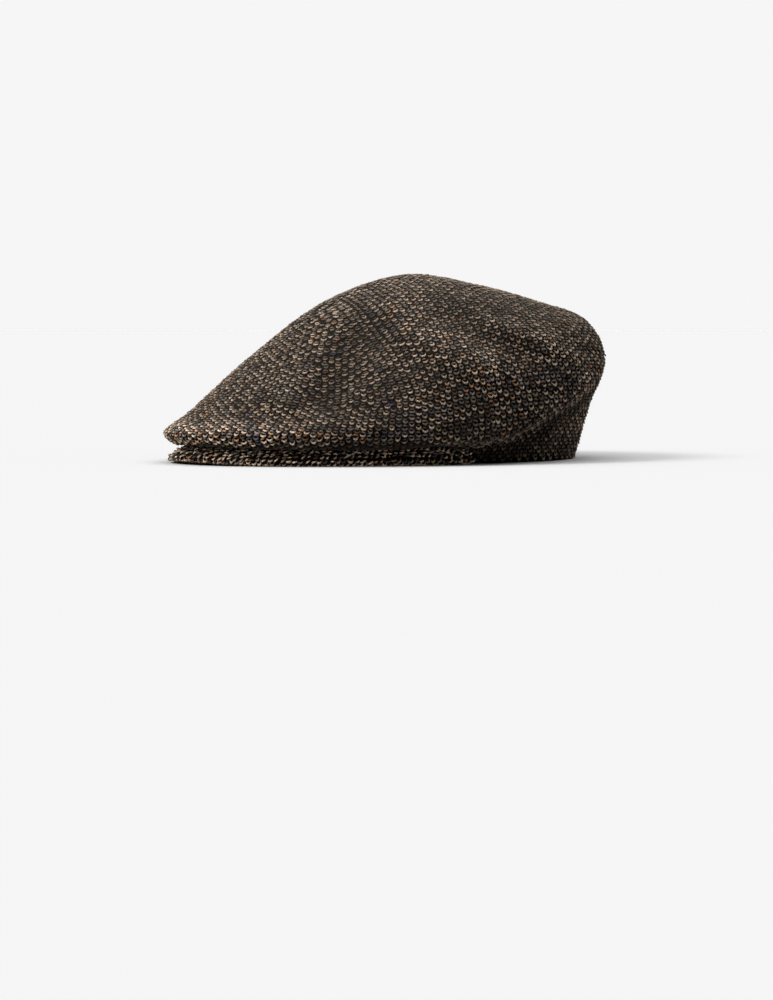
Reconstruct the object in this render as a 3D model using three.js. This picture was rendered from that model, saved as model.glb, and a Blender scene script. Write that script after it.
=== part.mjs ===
// A flat cap in chunky knitted tweed, in millimetres, +Z up, peak towards -Y, standing on its rim.
// Three pieces: the hollow crown, the stiffened peak under its front, and the sweatband.
// Each section is worked out in the plane of one direction round from the front, as a distance from
// the middle axis and a height above the back of the hem, and the whole cap is tipped to stand at the end.
import * as THREE from "three";

// Head opening, an oval that is the inner face of the sweatband.
const headHalfWidth = 79.5;
const headHalfLength = 99.5;
const axisForward = 10; // the middle axis stands this far in front of the oval's centre

// Walls, and the gap between two pieces that touch.
const crownWall = 2.2;
const bandWall = 1.2;
const seatGap = 0.3;

// Sweatband.
const bandTall = 30;
const bandAboveHem = 7;
const bandLeanIn = 2.5;

// Peak.
const peakHalfWidth = 88;
const peakReach = 144; // from the middle axis to the front edge
const peakSquareness = 2.05;
const peakThick = 4.4;
const peakEndAngle = 87; // degrees round from the front
const peakArch = 8; // how much higher the root stands in front than at the peak's ends
const peakEndHigh = 1;
const peakDrop = 20; // from the root down to the front edge
const peakCamber = 2.5;
const peakShown = 11; // strip of the peak in front of the crown's seam

// Crown.
const crownHalfWidth = 105;
const crownFront = 150; // from the middle axis to the front of the roll
const crownBack = 124;
const crownTall = 104; // from the hem to the top, at the middle axis
const crownFrontSquareness = 1.85;
const crownBackSquareness = 2.15;
const hemDip = 4.3; // how far the hem hangs lower at the temples than at the back
const hemTurn = 3; // degrees in which the crown's edge steps from the peak's ends down to the hem

// How deep the cloth is pressed flat where the cap stands.
const restPress = 0.6;

// Faces round the front and the back, and across each piece.
const frontSteps = 32;
const backSteps = 32;
const peakAcross = 8;
const bandSteps = 60;
const edgeTurns = [60, 20, -20, -60]; // degrees round the peak's rounded edge
const foldSteps = 8;

// Crown sections, a row for each direction round from the front. Heights are shares of crownTall, and
// hem is a share of hemDip. The crease lies tuckOut of the way from the lower edge out to the bulge, and
// tuckHigh of the way from the hem up to it.
const crownRows = [
  { angle: 0, hem: -0.9, tuckOut: 0.55, tuckHigh: 0.2, bulge: 0.03, wide: 0.15, mid: 0.465, near: 0.825 },
  { angle: 30, hem: -0.9, tuckOut: 0.55, tuckHigh: 0.25, bulge: 0.045, wide: 0.185, mid: 0.505, near: 0.835 },
  { angle: 55, hem: -0.9, tuckOut: 0.5, tuckHigh: 0.4, bulge: 0.065, wide: 0.27, mid: 0.58, near: 0.88 },
  { angle: 75, hem: -0.95, tuckOut: 0.45, tuckHigh: 0.7, bulge: 0.075, wide: 0.37, mid: 0.67, near: 0.91 },
  { angle: 95, hem: -1, tuckOut: 0.3, tuckHigh: 0.5, bulge: 0.13, wide: 0.48, mid: 0.755, near: 0.94 },
  { angle: 120, hem: -0.6, tuckOut: 0.36, tuckHigh: 0.55, bulge: 0.34, wide: 0.64, mid: 0.825, near: 0.957 },
  { angle: 150, hem: -0.12, tuckOut: 0.46, tuckHigh: 0.5, bulge: 0.57, wide: 0.78, mid: 0.88, near: 0.965 },
  { angle: 180, hem: 0, tuckOut: 0.48, tuckHigh: 0.5, bulge: 0.63, wide: 0.81, mid: 0.9, near: 0.975 },
];

// The marks of a section above its bulge stand at these shares of the crown's reach.
const wideOut = 0.9;
const midOut = 0.66;
const nearOut = 0.34;

// Faces from one mark of a section to the next: lower edge, crease, bulge, wide, mid, near and middle axis.
const markSteps = [3, 4, 4, 5, 5, 6];

// Soft folds in the crown, each between two spots. A spot is a direction and a place among the marks of
// its section, counted up from 0 at the lower edge. wide is a share of crownHalfWidth. deep is a share of
// crownTall, and a minus stands out.
const crownFolds = [
  { fromAngle: 22, fromMark: 3.3, toAngle: 20, toMark: 4.6, wide: 0.17, deep: -0.016 },
  { fromAngle: 34, fromMark: 3.3, toAngle: 42, toMark: 4.5, wide: 0.2, deep: 0.02 },
  { fromAngle: 50, fromMark: 4.6, toAngle: 87, toMark: 3.1, wide: 0.17, deep: -0.018 },
  { fromAngle: 84, fromMark: 4.2, toAngle: 103, toMark: 3.2, wide: 0.15, deep: 0.016 },
  { fromAngle: 99, fromMark: 3.8, toAngle: 116, toMark: 3.2, wide: 0.15, deep: -0.014 },
  { fromAngle: 118, fromMark: 2.9, toAngle: 128, toMark: 2.2, wide: 0.14, deep: -0.012 },
  { fromAngle: -30, fromMark: 3.3, toAngle: -46, toMark: 4.5, wide: 0.2, deep: 0.018 },
  { fromAngle: -58, fromMark: 4.4, toAngle: -95, toMark: 3.2, wide: 0.17, deep: -0.016 },
  { fromAngle: -112, fromMark: 3.8, toAngle: -138, toMark: 2.8, wide: 0.16, deep: 0.014 },
];

// Peak sections. root is the height of the root, a share of peakArch. drop is how far the edge is under
// it, a share of peakDrop.
const peakRows = [
  { angle: 0, root: 1, drop: 1 },
  { angle: 25, root: 0.95, drop: 0.98 },
  { angle: 45, root: 0.8, drop: 0.83 },
  { angle: 65, root: 0.45, drop: 0.58 },
  { angle: 80, root: 0.1, drop: 0.42 },
  { angle: 87, root: 0, drop: 0.25 },
];

const radians = THREE.MathUtils.degToRad;
const mix = THREE.MathUtils.lerp;

// A table's column at any angle, smooth through its rows and level where the table ends.
function column(rows, name, angle) {
  const a = THREE.MathUtils.clamp(Math.abs(angle), rows[0].angle, rows.at(-1).angle);
  let k = 0;
  while (k < rows.length - 2 && a > rows[k + 1].angle) k++;
  const slope = (i) => {
    if (i <= 0 || i >= rows.length - 1) return 0;
    return (rows[i + 1][name] - rows[i - 1][name]) / (rows[i + 1].angle - rows[i - 1].angle);
  };
  const span = rows[k + 1].angle - rows[k].angle;
  const t = (a - rows[k].angle) / span;
  const bend = (slope(k) * (1 - t) ** 2 * t - slope(k + 1) * t * t * (1 - t)) * span;
  return mix(rows[k][name], rows[k + 1][name], t * t * (3 - 2 * t)) + bend;
}

// Distance from the middle axis to a squared oval with its own reach to the front and to the back.
function ovalRadius(angle, halfWidth, front, back, squareFront, squareBack) {
  const across = Math.abs(Math.sin(radians(angle))) / halfWidth;
  const along = Math.cos(radians(angle));
  const n = along > 0 ? squareFront : squareBack;
  return (across ** n + (Math.abs(along) / (along > 0 ? front : back)) ** n) ** (-1 / n);
}
const crownRadius = (angle) =>
  ovalRadius(angle, crownHalfWidth, crownFront, crownBack, crownFrontSquareness, crownBackSquareness);
const peakRadius = (angle) =>
  ovalRadius(angle, peakHalfWidth, peakReach, peakReach, peakSquareness, peakSquareness);

// Distance from the middle axis to the head opening's oval, grown outwards.
function headRadius(angle, grown) {
  const a = headHalfWidth + grown;
  const b = headHalfLength + grown;
  const dx = Math.sin(radians(angle));
  const dy = -Math.cos(radians(angle));
  const p = (dx / a) ** 2 + (dy / b) ** 2;
  const q = (-axisForward * dy) / b ** 2;
  const r = (axisForward / b) ** 2 - 1;
  return (-q + Math.sqrt(q * q - p * r)) / p;
}
const innerRim = bandWall + seatGap;

const frontAngles = Array.from({ length: frontSteps + 1 }, (_, i) =>
  mix(-peakEndAngle, peakEndAngle, i / frontSteps),
);

// A spot in a section's plane, and that spot in space.
const spot = (out, high) => new THREE.Vector2(out, high);
const place = (angle, { x, y }) =>
  new THREE.Vector3(x * Math.sin(radians(angle)), -axisForward - x * Math.cos(radians(angle)), y);

// The peak's section: its upper and lower faces, from the root out, and its rounded edge between them.
function peakSection(angle) {
  const half = peakThick / 2;
  const drop = peakDrop * column(peakRows, "drop", angle);
  const high = peakEndHigh + peakArch * column(peakRows, "root", angle);
  const line = spot(peakRadius(angle) - headRadius(angle, innerRim), -drop);
  const normal = spot(drop, line.x).normalize();
  const along = line.clone().normalize();
  const root = spot(headRadius(angle, innerRim) + half * normal.x, high);
  const length = line.length() - half;
  const camber = (share) => peakCamber * 4 * share * (1 - share) * Math.cos(radians(angle)) ** 2;
  const at = (run, side) =>
    root.clone().addScaledVector(along, run).addScaledVector(normal, side * half + camber(run / length));
  const runs = Array.from({ length: peakAcross + 1 }, (_, k) => (length * k) / peakAcross);
  return {
    length,
    upper: (run, lift) => at(run, 1).addScaledVector(normal, lift),
    loop: [
      ...runs.map((run) => at(run, 1)),
      ...edgeTurns.map((turn) => at(length + half * Math.cos(radians(turn)), Math.sin(radians(turn)))),
      ...runs.reverse().map((run) => at(run, -1)),
    ],
  };
}

// The crown's lower edge, its outer and inner corners: the seam on the peak in front, and the hem behind.
function lowerEdge(angle) {
  if (Math.abs(angle) > peakEndAngle) {
    const hem = hemDip * column(crownRows, "hem", angle);
    return [spot(headRadius(angle, innerRim + crownWall), hem), spot(headRadius(angle, innerRim), hem)];
  }
  const peak = peakSection(angle);
  const seam = Math.max(peak.length - peakShown, crownWall);
  return [peak.upper(seam, seatGap), peak.upper(seam - crownWall, seatGap)];
}

// A crown section's outside as a curve through its marks, up from the lower edge and down the far side.
function crownSection(angle) {
  const half = (turn) => {
    const [low] = lowerEdge(turn);
    const reach = crownRadius(turn);
    const high = (name) => crownTall * column(crownRows, name, turn);
    return [
      low,
      spot(
        mix(low.x, reach, column(crownRows, "tuckOut", turn)),
        mix(hemDip * column(crownRows, "hem", turn), high("bulge"), column(crownRows, "tuckHigh", turn)),
      ),
      spot(reach, high("bulge")),
      spot(reach * wideOut, high("wide")),
      spot(reach * midOut, high("mid")),
      spot(reach * nearOut, high("near")),
    ];
  };
  const opposite = half(angle > 0 ? angle - 180 : angle + 180).reverse();
  const marks = [...half(angle), spot(0, crownTall), ...opposite.map(({ x, y }) => spot(-x, y))];
  const through = marks.map(({ x, y }) => new THREE.Vector3(x, y, 0));
  const curve = new THREE.CatmullRomCurve3(through, false, "centripetal");
  return (mark) => curve.getPoint(mark / (marks.length - 1));
}

// How far the folds press a spot of the crown in.
const foldLines = crownFolds.map((fold) => {
  const points = Array.from({ length: foldSteps + 1 }, (_, k) => {
    const angle = mix(fold.fromAngle, fold.toAngle, k / foldSteps);
    return place(angle, crownSection(angle)(mix(fold.fromMark, fold.toMark, k / foldSteps)));
  });
  return { points, wide: fold.wide * crownHalfWidth, deep: fold.deep * crownTall };
});
function foldDepth(point) {
  return foldLines.reduce((depth, { points, wide, deep }) => {
    const far = Math.min(...points.map((onFold) => onFold.distanceTo(point))) / wide;
    return depth + (far < 1 ? deep * (1 - far * far) ** 2 : 0);
  }, 0);
}

function meshFrom(points, faces) {
  const geometry = new THREE.BufferGeometry();
  const flat = points.flatMap((p) => [p.x, p.y, p.z]);
  geometry.setAttribute("position", new THREE.Float32BufferAttribute(flat, 3));
  geometry.setIndex(faces);
  return geometry;
}

// The hollow crown: an outer skin, an inner one a wall further in, and the lower edge between them.
function crownGeometry() {
  const behind = peakEndAngle + hemTurn;
  const back = Array.from({ length: backSteps }, (_, i) => mix(behind, 360 - behind, i / (backSteps - 1)));
  const angles = [...frontAngles, ...back].map((angle) => (angle > 180 ? angle - 360 : angle));
  const marks = markSteps.flatMap((steps, k) => Array.from({ length: steps }, (_, j) => k + j / steps));
  const round = angles.length;
  const rings = marks.length;
  const around = (i) => (i + round) % round;

  const plain = angles.map((angle) => {
    const section = crownSection(angle);
    return [...marks.map((mark) => place(angle, section(mark))), place(0, spot(0, crownTall))];
  });
  const normalsOf = (skin) =>
    skin.map((line, i) =>
      line.slice(0, rings).map((_, j) => {
        const across = skin[around(i + 1)][j].clone().sub(skin[around(i - 1)][j]);
        const up = line[j + 1].clone().sub(line[Math.max(j - 1, 0)]);
        return across.cross(up).normalize();
      }),
    );
  const plainNormals = normalsOf(plain);
  const outer = plain.map((line, i) =>
    line.map((p, j) => (j < rings ? p.clone().addScaledVector(plainNormals[i][j], -foldDepth(p)) : p)),
  );
  const normals = normalsOf(outer);
  const inner = outer.map((line, i) => {
    const rim = place(angles[i], lowerEdge(angles[i])[1]);
    return normals[i].map((normal, j) => (j ? line[j].clone().addScaledVector(normal, -crownWall) : rim));
  });

  const points = [...outer.flatMap((line) => line.slice(0, rings)), ...inner.flat()];
  const top = points.push(place(0, spot(0, crownTall))) - 1;
  const under = points.push(place(0, spot(0, crownTall - crownWall))) - 1;
  const out = (i, j) => around(i) * rings + j;
  const inn = (i, j) => round * rings + out(i, j);
  const faces = [];
  for (let i = 0; i < round; i++) {
    for (let j = 0; j < rings - 1; j++) {
      faces.push(out(i, j), out(i + 1, j), out(i + 1, j + 1), out(i, j), out(i + 1, j + 1), out(i, j + 1));
      faces.push(inn(i, j), inn(i + 1, j + 1), inn(i + 1, j), inn(i, j), inn(i, j + 1), inn(i + 1, j + 1));
    }
    faces.push(out(i, rings - 1), out(i + 1, rings - 1), top);
    faces.push(inn(i + 1, rings - 1), inn(i, rings - 1), under);
    faces.push(out(i, 0), inn(i + 1, 0), out(i + 1, 0), out(i, 0), inn(i, 0), inn(i + 1, 0));
  }
  return meshFrom(points, faces);
}

// Closed loops of points joined one to the next, either all the way round or with flat ends.
function loftGeometry(loops, joinedRound) {
  const size = loops[0].length;
  const faces = [];
  for (let i = 0; i < loops.length - (joinedRound ? 0 : 1); i++) {
    const from = i * size;
    const to = ((i + 1) % loops.length) * size;
    for (let j = 0; j < size; j++) {
      const k = (j + 1) % size;
      faces.push(from + j, from + k, to + k, from + j, to + k, to + j);
    }
  }
  if (!joinedRound) {
    const end = (loops.length - 1) * size;
    for (let j = 0; j < size / 2 - 1; j++) {
      const k = size - 1 - j;
      faces.push(j, k, j + 1, j + 1, k, k - 1);
      faces.push(end + j, end + j + 1, end + k, end + j + 1, end + k - 1, end + k);
    }
  }
  return meshFrom(loops.flat(), faces);
}

function peakGeometry() {
  const loops = frontAngles.map((angle) => peakSection(angle).loop.map((p) => place(angle, p)));
  return loftGeometry(loops, false);
}

// The sweatband stands inside the peak's root in front and inside the hem behind.
function bandGeometry() {
  const loops = Array.from({ length: bandSteps }, (_, i) => {
    const angle = -180 + (360 * (i + 1)) / bandSteps;
    const onPeak = 1 - THREE.MathUtils.smoothstep(Math.abs(angle), peakEndAngle / 2, peakEndAngle);
    const root = peakEndHigh + peakArch * column(peakRows, "root", angle) - peakThick / 2;
    const low = mix(hemDip * column(crownRows, "hem", angle) + bandAboveHem, root, onPeak);
    const high = low + bandTall;
    return [
      spot(headRadius(angle, 0), low),
      spot(headRadius(angle, -bandLeanIn), high),
      spot(headRadius(angle, bandWall - bandLeanIn), high),
      spot(headRadius(angle, bandWall), low),
    ].map((p) => place(angle, p));
  });
  return loftGeometry(loops, true);
}

const geometries = { crown: crownGeometry(), peak: peakGeometry(), sweatband: bandGeometry() };

// The cap tips until the peak's edge and the back of the hem both reach the ground, and the cloth is
// pressed flat there.
function restPose() {
  const hem = place(180, lowerEdge(180)[0]);
  const spots = geometries.peak.getAttribute("position");
  let pitch = -Math.PI;
  for (let i = 0; i < spots.count; i++) {
    pitch = Math.max(pitch, Math.atan2(hem.z - spots.getZ(i), hem.y - spots.getY(i)));
  }
  const turn = new THREE.Matrix4().makeRotationX(-pitch);
  const drop = hem.applyMatrix4(turn).z + restPress;
  return new THREE.Matrix4().makeTranslation(0, 0, -drop).multiply(turn);
}

const rest = restPose();
const whole = new THREE.Box3();
for (const geometry of Object.values(geometries)) {
  geometry.applyMatrix4(rest);
  const spots = geometry.getAttribute("position");
  for (let i = 0; i < spots.count; i++) spots.setZ(i, Math.max(spots.getZ(i), 0));
  geometry.computeVertexNormals();
  geometry.computeBoundingBox();
  whole.union(geometry.boundingBox);
}
const middle = whole.getCenter(new THREE.Vector3());

const tweed = { color: 0x3a332d, roughness: 0.95, metalness: 0 };
const ribbon = { color: 0x101012, roughness: 0.8, metalness: 0 };
const finishes = { crown: tweed, peak: tweed, sweatband: ribbon };

const flatCap = new THREE.Group();
for (const [name, geometry] of Object.entries(geometries)) {
  const mesh = new THREE.Mesh(geometry, new THREE.MeshStandardMaterial(finishes[name]));
  mesh.name = name;
  mesh.position.y = -middle.y;
  flatCap.add(mesh);
}

export default flatCap;
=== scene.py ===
# A flat cap in chunky knitted tweed, resting on a pale floor.
# The crown, peak and sweatband follow the part's own sections, and the knit is laid over them loop by loop.
import bpy
import math
import numpy as np
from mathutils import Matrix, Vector


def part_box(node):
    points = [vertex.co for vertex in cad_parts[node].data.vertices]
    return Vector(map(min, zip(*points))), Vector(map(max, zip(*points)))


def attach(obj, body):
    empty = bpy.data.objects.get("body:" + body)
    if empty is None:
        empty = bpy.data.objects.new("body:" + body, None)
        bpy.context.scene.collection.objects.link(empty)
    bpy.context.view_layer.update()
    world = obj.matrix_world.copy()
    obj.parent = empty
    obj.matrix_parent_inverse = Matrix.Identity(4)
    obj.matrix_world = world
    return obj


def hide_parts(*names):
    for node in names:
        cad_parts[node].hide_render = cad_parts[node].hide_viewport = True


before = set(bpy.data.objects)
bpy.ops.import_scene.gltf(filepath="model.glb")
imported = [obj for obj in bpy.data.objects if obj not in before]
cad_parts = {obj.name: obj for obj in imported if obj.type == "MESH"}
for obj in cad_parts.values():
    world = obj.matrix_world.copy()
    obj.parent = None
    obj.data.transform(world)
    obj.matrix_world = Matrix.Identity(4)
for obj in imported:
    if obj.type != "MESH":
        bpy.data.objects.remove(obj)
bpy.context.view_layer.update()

# Sizes of the cap in millimetres, the same as its solids have
cap = {
    "headHalfWidth": 79.5, "headHalfLength": 99.5, "axisForward": 10.0,
    "crownWall": 2.2, "bandWall": 1.2, "seatGap": 0.3,
    "bandTall": 30.0, "bandAboveHem": 7.0, "bandLeanIn": 2.5,
    "peakHalfWidth": 88.0, "peakReach": 144.0, "peakSquareness": 2.05, "peakThick": 4.4,
    "peakEndAngle": 87.0, "peakArch": 8.0, "peakEndHigh": 1.0, "peakDrop": 20.0, "peakCamber": 2.5,
    "peakShown": 11.0,
    "crownHalfWidth": 105.0, "crownFront": 150.0, "crownBack": 124.0, "crownTall": 104.0,
    "crownFrontSquareness": 1.85, "crownBackSquareness": 2.15, "hemDip": 4.3, "hemTurn": 3.0,
    "restPress": 0.6, "wideOut": 0.9, "midOut": 0.66, "nearOut": 0.34,
}

crownColumns = ("angle", "hem", "tuckOut", "tuckHigh", "bulge", "wide", "mid", "near")
crownRows = [
    (0, -0.9, 0.55, 0.2, 0.03, 0.15, 0.465, 0.825),
    (30, -0.9, 0.55, 0.25, 0.045, 0.185, 0.505, 0.835),
    (55, -0.9, 0.5, 0.4, 0.065, 0.27, 0.58, 0.88),
    (75, -0.95, 0.45, 0.7, 0.075, 0.37, 0.67, 0.91),
    (95, -1, 0.3, 0.5, 0.13, 0.48, 0.755, 0.94),
    (120, -0.6, 0.36, 0.55, 0.34, 0.64, 0.825, 0.957),
    (150, -0.12, 0.46, 0.5, 0.57, 0.78, 0.88, 0.965),
    (180, 0, 0.48, 0.5, 0.63, 0.81, 0.9, 0.975),
]
peakColumns = ("angle", "root", "drop")
peakRows = [(0, 1, 1), (25, 0.95, 0.98), (45, 0.8, 0.83), (65, 0.45, 0.58), (80, 0.1, 0.42), (87, 0, 0.25)]

# Soft folds: from angle and mark, to angle and mark, width as a share of crownHalfWidth, depth of crownTall
crownFolds = [
    (22, 3.3, 20, 4.6, 0.17, -0.016),
    (34, 3.3, 42, 4.5, 0.2, 0.02),
    (50, 4.6, 87, 3.1, 0.17, -0.018),
    (84, 4.2, 103, 3.2, 0.15, 0.016),
    (99, 3.8, 116, 3.2, 0.15, -0.014),
    (118, 2.9, 128, 2.2, 0.14, -0.012),
    (-30, 3.3, -46, 4.5, 0.2, 0.018),
    (-58, 4.4, -95, 3.2, 0.17, -0.016),
    (-112, 3.8, -138, 2.8, 0.16, 0.014),
]
mm = 0.001


def column(rows, columns, name, angles):
    table = np.array(rows, float)
    rowAngles, values = table[:, 0], table[:, columns.index(name)]
    slopes = np.zeros(len(rows))
    slopes[1:-1] = (values[2:] - values[:-2]) / (rowAngles[2:] - rowAngles[:-2])
    a = np.clip(np.abs(angles), rowAngles[0], rowAngles[-1])
    k = np.clip(np.searchsorted(rowAngles, a) - 1, 0, len(rows) - 2)
    span = rowAngles[k + 1] - rowAngles[k]
    t = (a - rowAngles[k]) / span
    bend = (slopes[k] * (1 - t) ** 2 * t - slopes[k + 1] * t * t * (1 - t)) * span
    return values[k] + (values[k + 1] - values[k]) * t * t * (3 - 2 * t) + bend


def crownColumn(name, angles):
    return column(crownRows, crownColumns, name, angles)


def ovalRadius(angles, halfWidth, front, back, squareFront, squareBack):
    across = np.abs(np.sin(np.radians(angles))) / halfWidth
    along = np.cos(np.radians(angles))
    n = np.where(along > 0, squareFront, squareBack)
    return (across ** n + (np.abs(along) / np.where(along > 0, front, back)) ** n) ** (-1 / n)


def crownRadius(angles):
    return ovalRadius(angles, cap["crownHalfWidth"], cap["crownFront"], cap["crownBack"],
                      cap["crownFrontSquareness"], cap["crownBackSquareness"])


def headRadius(angles, grown):
    a, b = cap["headHalfWidth"] + grown, cap["headHalfLength"] + grown
    dx, dy = np.sin(np.radians(angles)), -np.cos(np.radians(angles))
    p = (dx / a) ** 2 + (dy / b) ** 2
    q = -cap["axisForward"] * dy / b ** 2
    r = (cap["axisForward"] / b) ** 2 - 1
    return (-q + np.sqrt(q * q - p * r)) / p


innerRim = cap["bandWall"] + cap["seatGap"]


# A section's own plane holds distance out and height; place puts it in the cap, front towards -Y
def place(angles, section):
    turn, out = np.radians(angles), section[..., 0]
    return np.stack([out * np.sin(turn), -cap["axisForward"] - out * np.cos(turn), section[..., 1]], -1)


class PeakSection:
    def __init__(self, angles):
        self.angles = np.asarray(angles, float)
        self.half = cap["peakThick"] / 2
        drop = cap["peakDrop"] * column(peakRows, peakColumns, "drop", self.angles)
        high = cap["peakEndHigh"] + cap["peakArch"] * column(peakRows, peakColumns, "root", self.angles)
        radius = ovalRadius(self.angles, cap["peakHalfWidth"], cap["peakReach"], cap["peakReach"],
                            cap["peakSquareness"], cap["peakSquareness"])
        span = radius - headRadius(self.angles, innerRim)
        length = np.hypot(span, drop)
        self.normal = np.stack([drop, span], -1) / length[:, None]
        self.along = np.stack([span, -drop], -1) / length[:, None]
        self.root = np.stack([headRadius(self.angles, innerRim) + self.half * self.normal[:, 0], high], -1)
        self.length = length - self.half

    def at(self, run, side, lift=0.0):
        share = run / self.length
        camber = cap["peakCamber"] * 4 * share * (1 - share) * np.cos(np.radians(self.angles)) ** 2
        rise = side * self.half + camber + lift
        return self.root + self.along * np.asarray(run)[:, None] + self.normal * np.asarray(rise)[:, None]

    def face(self, turn):
        turn = math.radians(turn)
        return self.along * math.cos(turn) + self.normal * math.sin(turn)

    def edge(self, turn, lift=0.0):
        return self.at(self.length, 0.0) + self.face(turn) * (self.half + lift)


def peakSections(steps):
    return PeakSection(np.linspace(-cap["peakEndAngle"], cap["peakEndAngle"], steps))


def lowerEdge(angles):
    angles = np.asarray(angles, float)
    peak = PeakSection(np.clip(angles, -cap["peakEndAngle"], cap["peakEndAngle"]))
    seam = np.maximum(peak.length - cap["peakShown"], cap["crownWall"])
    outer = peak.at(seam, 1, cap["seatGap"])
    inner = peak.at(seam - cap["crownWall"], 1, cap["seatGap"])
    hem = cap["hemDip"] * crownColumn("hem", angles)
    behind = (np.abs(angles) > cap["peakEndAngle"])[:, None]
    hemOuter = np.stack([headRadius(angles, innerRim + cap["crownWall"]), hem], -1)
    hemInner = np.stack([headRadius(angles, innerRim), hem], -1)
    return np.where(behind, hemOuter, outer), np.where(behind, hemInner, inner)


def crownMarks(angles):
    low, _ = lowerEdge(angles)
    reach = crownRadius(angles)
    hem = cap["hemDip"] * crownColumn("hem", angles)
    high = {name: cap["crownTall"] * crownColumn(name, angles) for name in ("bulge", "wide", "mid", "near")}
    tuckOut, tuckHigh = crownColumn("tuckOut", angles), crownColumn("tuckHigh", angles)
    tuck = np.stack([low[:, 0] + (reach - low[:, 0]) * tuckOut, hem + (high["bulge"] - hem) * tuckHigh], -1)
    outs = {"bulge": 1, "wide": cap["wideOut"], "mid": cap["midOut"], "near": cap["nearOut"]}
    rest = [np.stack([reach * out, high[name]], -1) for name, out in outs.items()]
    return np.stack([low, tuck, *rest], 1)


# Spots of the crown's outside, without its folds, for matching lists of angles and marks
def crownSpots(angles, marks):
    angles = np.asarray(angles, float)
    here = crownMarks(angles)
    far = crownMarks(np.where(angles > 0, angles - 180, angles + 180))[:, -1:] * (-1, 1)
    top = np.tile((0.0, cap["crownTall"]), (len(angles), 1, 1))
    points = np.concatenate([2 * here[:, :1] - here[:, 1:2], here, top, far], 1)
    k = np.minimum(marks.astype(int), 5)
    each = np.arange(len(angles))
    p0, p1, p2, p3 = (points[each, k + i] for i in range(4))
    d0, d1, d2 = (np.sqrt(np.linalg.norm(b - a, axis=1))[:, None] for a, b in ((p0, p1), (p1, p2), (p2, p3)))
    t1 = ((p1 - p0) / d0 - (p2 - p0) / (d0 + d1) + (p2 - p1) / d1) * d1
    t2 = ((p2 - p1) / d1 - (p3 - p1) / (d1 + d2) + (p3 - p2) / d2) * d1
    t = (marks - k)[:, None]
    spot = p1 + t1 * t + (-3 * p1 + 3 * p2 - 2 * t1 - t2) * t ** 2 + (2 * p1 - 2 * p2 + t1 + t2) * t ** 3
    return place(angles, spot)


def wrapAngle(angles):
    return (np.asarray(angles) + 180) % 360 - 180


# Nearest distance from each point to each list of spots
def nearness(points, spots):
    return np.min(np.linalg.norm(points[:, None] - spots[None], axis=2), axis=1)


# Spots on the crown along one row of a table, from angle and mark to angle and mark
def lineSpots(row, steps, turn=1.0):
    fromAngle, fromMark, toAngle, toMark = row[:4]
    share = np.linspace(0, 1, steps)
    angles = wrapAngle(turn * (fromAngle + (toAngle - fromAngle) * share))
    return crownSpots(angles, fromMark + (toMark - fromMark) * share)


foldLines = []
for row in crownFolds:
    foldLines.append((lineSpots(row, 9), row[4] * cap["crownHalfWidth"], row[5] * cap["crownTall"]))


def foldDepth(points):
    depth = np.zeros(len(points))
    for spots, wide, deep in foldLines:
        far = nearness(points, spots) / wide
        depth += np.where(far < 1, deep * (1 - far * far) ** 2, 0)
    return depth


def unit(v):
    return v / np.maximum(np.linalg.norm(v, axis=-1, keepdims=True), 1e-9)


# Length run along each line of points, from its start
def lineLength(lines):
    run = np.cumsum(np.linalg.norm(np.diff(lines, axis=-2), axis=-1), -1)
    return np.concatenate([np.zeros((*run.shape[:-1], 1)), run], -1)


def alongLine(values, length, at):
    return np.stack([np.interp(at, length, values[:, axis]) for axis in range(3)], -1)


def gridNormals(grid):
    across = np.roll(grid, -1, 0) - np.roll(grid, 1, 0)
    up = np.empty_like(grid)
    up[:, 1:-1] = grid[:, 2:] - grid[:, :-2]
    up[:, 0] = grid[:, 1] - grid[:, 0]
    up[:, -1] = grid[:, -1] - grid[:, -2]
    normals = unit(np.cross(across, up))
    normals[:, -1] = (0, 0, 1)
    return normals


# The crown's outside as a grid of directions by marks
crownDetail = {"front": 150, "back": 150, "marks": (10, 12, 12, 14, 14, 14)}
behind = cap["peakEndAngle"] + cap["hemTurn"]
gridAngles = np.concatenate([
    np.linspace(-cap["peakEndAngle"], cap["peakEndAngle"], crownDetail["front"]),
    np.linspace(behind, 360 - behind, crownDetail["back"]),
])
gridMarks = np.concatenate([k + np.arange(n) / n for k, n in enumerate(crownDetail["marks"])] + [[6.0]])
around, rings = len(gridAngles), len(gridMarks)
eachAngle = np.repeat(wrapAngle(gridAngles), rings)
eachMark = np.tile(gridMarks, around)
plain = crownSpots(eachAngle, eachMark).reshape(around, rings, 3)
plainNormals = gridNormals(plain)
crownGrid = plain - plainNormals * foldDepth(plain.reshape(-1, 3)).reshape(around, rings, 1)
crownNormals = gridNormals(crownGrid)
print("crown sections worked out")


def onCrown(angles, marks):
    a = (np.asarray(angles) + cap["peakEndAngle"]) % 360 - cap["peakEndAngle"]
    i = np.interp(a, np.append(gridAngles, gridAngles[0] + 360), np.arange(around + 1))
    j = np.interp(marks, gridMarks, np.arange(rings))
    i0, j0 = np.floor(i).astype(int), np.minimum(np.floor(j).astype(int), rings - 2)
    fi, fj = (i - i0)[..., None], (j - j0)[..., None]
    i0, i1 = i0 % around, (i0 + 1) % around
    found = []
    for grid in (crownGrid, crownNormals):
        low = grid[i0, j0] * (1 - fi) + grid[i1, j0] * fi
        high = grid[i0, j0 + 1] * (1 - fi) + grid[i1, j0 + 1] * fi
        found.append(low * (1 - fj) + high * fj)
    return found[0], unit(found[1])


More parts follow.
